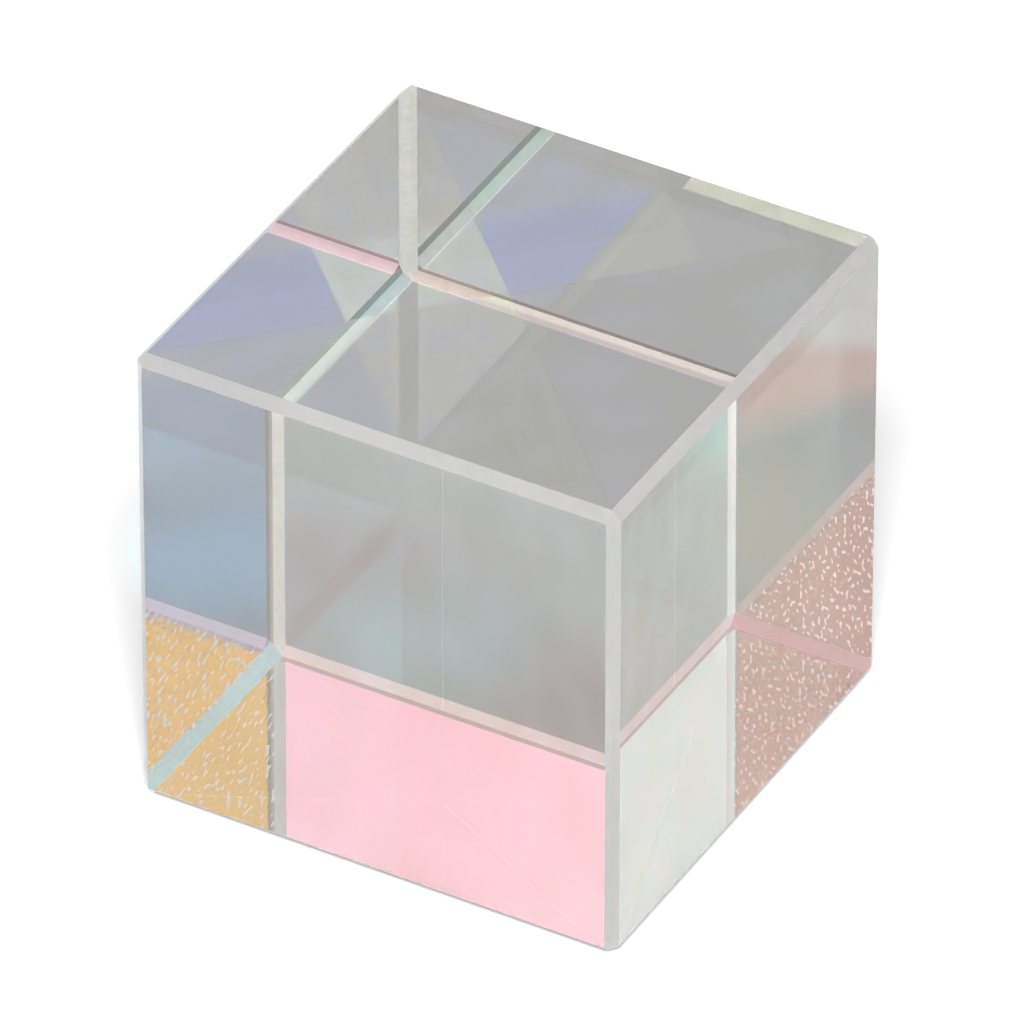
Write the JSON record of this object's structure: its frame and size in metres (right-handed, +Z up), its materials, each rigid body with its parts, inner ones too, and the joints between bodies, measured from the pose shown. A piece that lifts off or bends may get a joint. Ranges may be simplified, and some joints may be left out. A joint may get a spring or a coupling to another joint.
{
  "type": "dichroic prism cube",
  "caption": "Cube of right-angle glass prisms cemented leg to leg, with dichroic coatings on its crossed diagonal planes and ground bevels, which splits or joins light by colour",
  "frame": {"origin": "centre of the bottom face, where the joints between the prisms cross", "axes": "+Z runs up along the line where the joints cross; the four windows face -Y (front), +X (right), +Y (back) and -X (left)"},
  "size_m": [0.02, 0.02, 0.02],
  "materials": {
    "prism_glass": "polished optical glass, with bevels and edges ground fine",
    "long_coating": "dichroic layer stack that reflects blue and passes yellow",
    "short_coating": "dichroic layer stack that reflects red and passes cyan",
    "cement": "clear cured optical cement"
  },
  "bodies": {
    "root": {"prism_front": "prism_glass", "prism_right": "prism_glass", "prism_back": "prism_glass", "prism_left": "prism_glass", "long_coating": "long_coating", "long_cement": "cement", "short_coating_left": "short_coating", "short_cement_left": "cement", "short_coating_right": "short_coating", "short_cement_right": "cement"}
  },
  "joints": []
}
